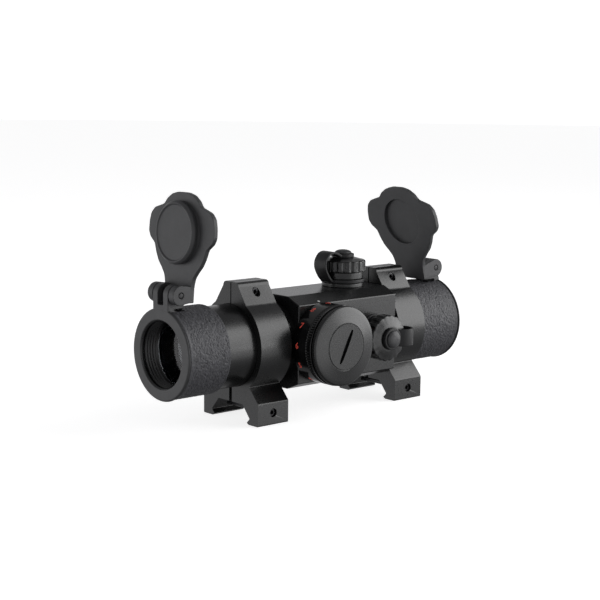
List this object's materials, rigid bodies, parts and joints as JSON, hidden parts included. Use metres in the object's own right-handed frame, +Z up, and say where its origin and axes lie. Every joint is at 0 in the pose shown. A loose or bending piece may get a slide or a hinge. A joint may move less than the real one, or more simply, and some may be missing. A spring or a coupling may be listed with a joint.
{
  "type": "red dot finder",
  "caption": "Tube red dot finder with flip-up lens caps, octagonal centre block, side brightness dial, tethered adjustment caps and two split rings for a dovetail rail.",
  "frame": {"origin": "roof of the rail channel, in the vertical mid-plane, straight below the axis of the brightness dial", "axes": "+X towards the objective, +Y to the observer's left, +Z up; the brightness dial is on -Y"},
  "size_m": [0.1353, 0.0481, 0.0835],
  "materials": {
    "anodised": "satin black anodising, fine bead-blast grain, slightly worn to grey on the edges",
    "armour": "matt dark grey rubber with a wrinkled leather grain",
    "cap_plastic": "matt dark grey moulded plastic with a fine spark-eroded grain",
    "bezel_plastic": "satin black moulded plastic",
    "strap_rubber": "smooth soft black rubber",
    "dial_gloss": null,
    "black_steel": "black oxide steel",
    "steel": "bright steel",
    "window_glass": "clear, anti-reflection coated",
    "reflector_glass": "clear with a faint red reflecting coating",
    "board": "green circuit board",
    "copper_film": "copper film on polyimide"
  },
  "bodies": {
    "sight": {"main_tube": "anodised", "rear_bezel": "bezel_plastic", "rear_rubber_sleeve": "armour", "rear_window": "window_glass", "rear_window_retainer": "black_steel", "rear_cap_spring": "black_steel", "rear_ring_fixed_half": "anodised", "rear_rail_nut": "steel", "front_bezel": "bezel_plastic", "front_rubber_sleeve": "armour", "front_window": "window_glass", "front_window_retainer": "black_steel", "front_cap_spring": "black_steel", "front_ring_fixed_half": "anodised", "front_rail_nut": "steel", "elevation_turret_base": "anodised", "elevation_cap_strap": "strap_rubber", "windage_turret_base": "anodised", "windage_cap_strap": "strap_rubber", "emitter_lead": "copper_film", "bias_spring": "steel", "rheostat_housing": "black_steel", "dial_snap_ring": "steel", "detent_ball": "steel", "switch_board": "board", "battery_contact": "steel", "coin_battery": "steel"},
    "rear_cap": {"rear_flip_cap": "cap_plastic", "rear_hinge_pin": "black_steel"},
    "front_cap": {"front_flip_cap": "cap_plastic", "front_hinge_pin": "black_steel"},
    "rear_clamp": {"rear_ring_clamp_half": "anodised", "rear_ear_screw": "black_steel", "rear_rail_bolt": "black_steel"},
    "front_clamp": {"front_ring_clamp_half": "anodised", "front_ear_screw": "black_steel", "front_rail_bolt": "black_steel"},
    "dial": {"brightness_dial": "dial_gloss"},
    "battery_seal": {"battery_cap_seal": "strap_rubber"},
    "battery_cover": {"battery_cap": "anodised"},
    "tube_pivot": {"inner_tube_pivot": "black_steel"},
    "optics": {"inner_tube": "anodised", "reflector_lens": "reflector_glass", "reflector_retainer": "black_steel", "emitter_bracket": "black_steel"},
    "elevation_rivet": {"elevation_strap_rivet": "cap_plastic"},
    "elevation_cap": {"elevation_turret_cap": "anodised"},
    "elevation_pad": {"elevation_screw_pad": "steel"},
    "elevation_screw": {"elevation_adjustment_screw": "steel"},
    "windage_rivet": {"windage_strap_rivet": "cap_plastic"},
    "windage_cap": {"windage_turret_cap": "anodised"},
    "windage_pad": {"windage_screw_pad": "steel"},
    "windage_screw": {"windage_adjustment_screw": "steel"}
  },
  "joints": [
    {"name": "rear_cap_hinge", "type": "hinge", "parent": "sight", "child": "rear_cap", "pos_m": [-0.058, 0, 0.0418], "axis": [0, 1, 0], "range_deg": [-184, 0], "stiffness_Nm_per_rad": 0.003, "springref_deg": 34.38},
    {"name": "front_cap_hinge", "type": "hinge", "parent": "sight", "child": "front_cap", "pos_m": [0.0684, 0, 0.0418], "axis": [0, 1, 0], "range_deg": [0, 195], "stiffness_Nm_per_rad": 0.003, "springref_deg": -34.38},
    {"name": "rear_clamp_slide", "type": "slide", "parent": "sight", "child": "rear_clamp", "axis": [0, -1, 0], "range_m": [0, 0.0025]},
    {"name": "front_clamp_slide", "type": "slide", "parent": "sight", "child": "front_clamp", "axis": [0, -1, 0], "range_m": [0, 0.0025]},
    {"name": "dial_turn", "type": "hinge", "parent": "sight", "child": "dial", "pos_m": [0, -0.0156, 0.0206], "axis": [0, -1, 0], "range_deg": [0, 330]},
    {"name": "battery_cover_travel", "type": "slide", "parent": "dial", "child": "battery_seal", "axis": [0, -1, 0], "range_m": [0, 0.003]},
    {"name": "battery_cover_turn", "type": "hinge", "parent": "battery_seal", "child": "battery_cover", "pos_m": [0, -0.0255, 0.0206], "axis": [0, -1, 0], "range_deg": [0, 1080]},
    {"name": "elevation_cap_travel", "type": "slide", "parent": "sight", "child": "elevation_rivet", "axis": [0, 0, 1], "range_m": [0, 0.003], "deforming": ["elevation_cap_strap"]},
    {"name": "elevation_cap_turn", "type": "hinge", "parent": "elevation_rivet", "child": "elevation_cap", "pos_m": [0.0244, 0, 0.0377], "axis": [0, 0, 1], "range_deg": [0, 1440]},
    {"name": "elevation_pad_travel", "type": "slide", "parent": "sight", "child": "elevation_pad", "axis": [0, 0, 1], "range_m": [-0.0005, 0.0005]},
    {"name": "elevation_screw_turn", "type": "hinge", "parent": "elevation_pad", "child": "elevation_screw", "pos_m": [0.0244, 0, 0.0377], "axis": [0, 0, 1], "range_deg": [-360, 360]},
    {"name": "windage_cap_travel", "type": "slide", "parent": "sight", "child": "windage_rivet", "axis": [0, -1, 0], "range_m": [0, 0.003], "deforming": ["windage_cap_strap"]},
    {"name": "windage_cap_turn", "type": "hinge", "parent": "windage_rivet", "child": "windage_cap", "pos_m": [0.0244, -0.0156, 0.0206], "axis": [0, -1, 0], "range_deg": [0, 1440]},
    {"name": "windage_pad_travel", "type": "slide", "parent": "sight", "child": "windage_pad", "axis": [0, -1, 0], "range_m": [-0.0005, 0.0005]},
    {"name": "windage_screw_turn", "type": "hinge", "parent": "windage_pad", "child": "windage_screw", "pos_m": [0.0244, -0.0156, 0.0206], "axis": [0, -1, 0], "range_deg": [-360, 360]},
    {"name": "optics_pitch", "type": "hinge", "parent": "sight", "child": "tube_pivot", "pos_m": [-0.015, 0, 0.0206], "axis": [0, -1, 0], "range_deg": [-0.75, 0.75]},
    {"name": "optics_yaw", "type": "hinge", "parent": "tube_pivot", "child": "optics", "pos_m": [-0.015, 0, 0.0206], "axis": [0, 0, -1], "range_deg": [-0.75, 0.75]}
  ],
  "couplings": [
    {"joint": "battery_cover_turn", "follows": "battery_cover_travel", "rad_per_m": 6283.1},
    {"joint": "elevation_cap_turn", "follows": "elevation_cap_travel", "rad_per_m": 8377.5},
    {"joint": "windage_cap_turn", "follows": "windage_cap_travel", "rad_per_m": 8377.5},
    {"joint": "elevation_screw_turn", "follows": "elevation_pad_travel", "rad_per_m": 12566},
    {"joint": "windage_screw_turn", "follows": "windage_pad_travel", "rad_per_m": 12566},
    {"joint": "optics_pitch", "follows": "elevation_pad_travel", "rad_per_m": 25.4},
    {"joint": "optics_yaw", "follows": "windage_pad_travel", "rad_per_m": 25.4}
  ]
}
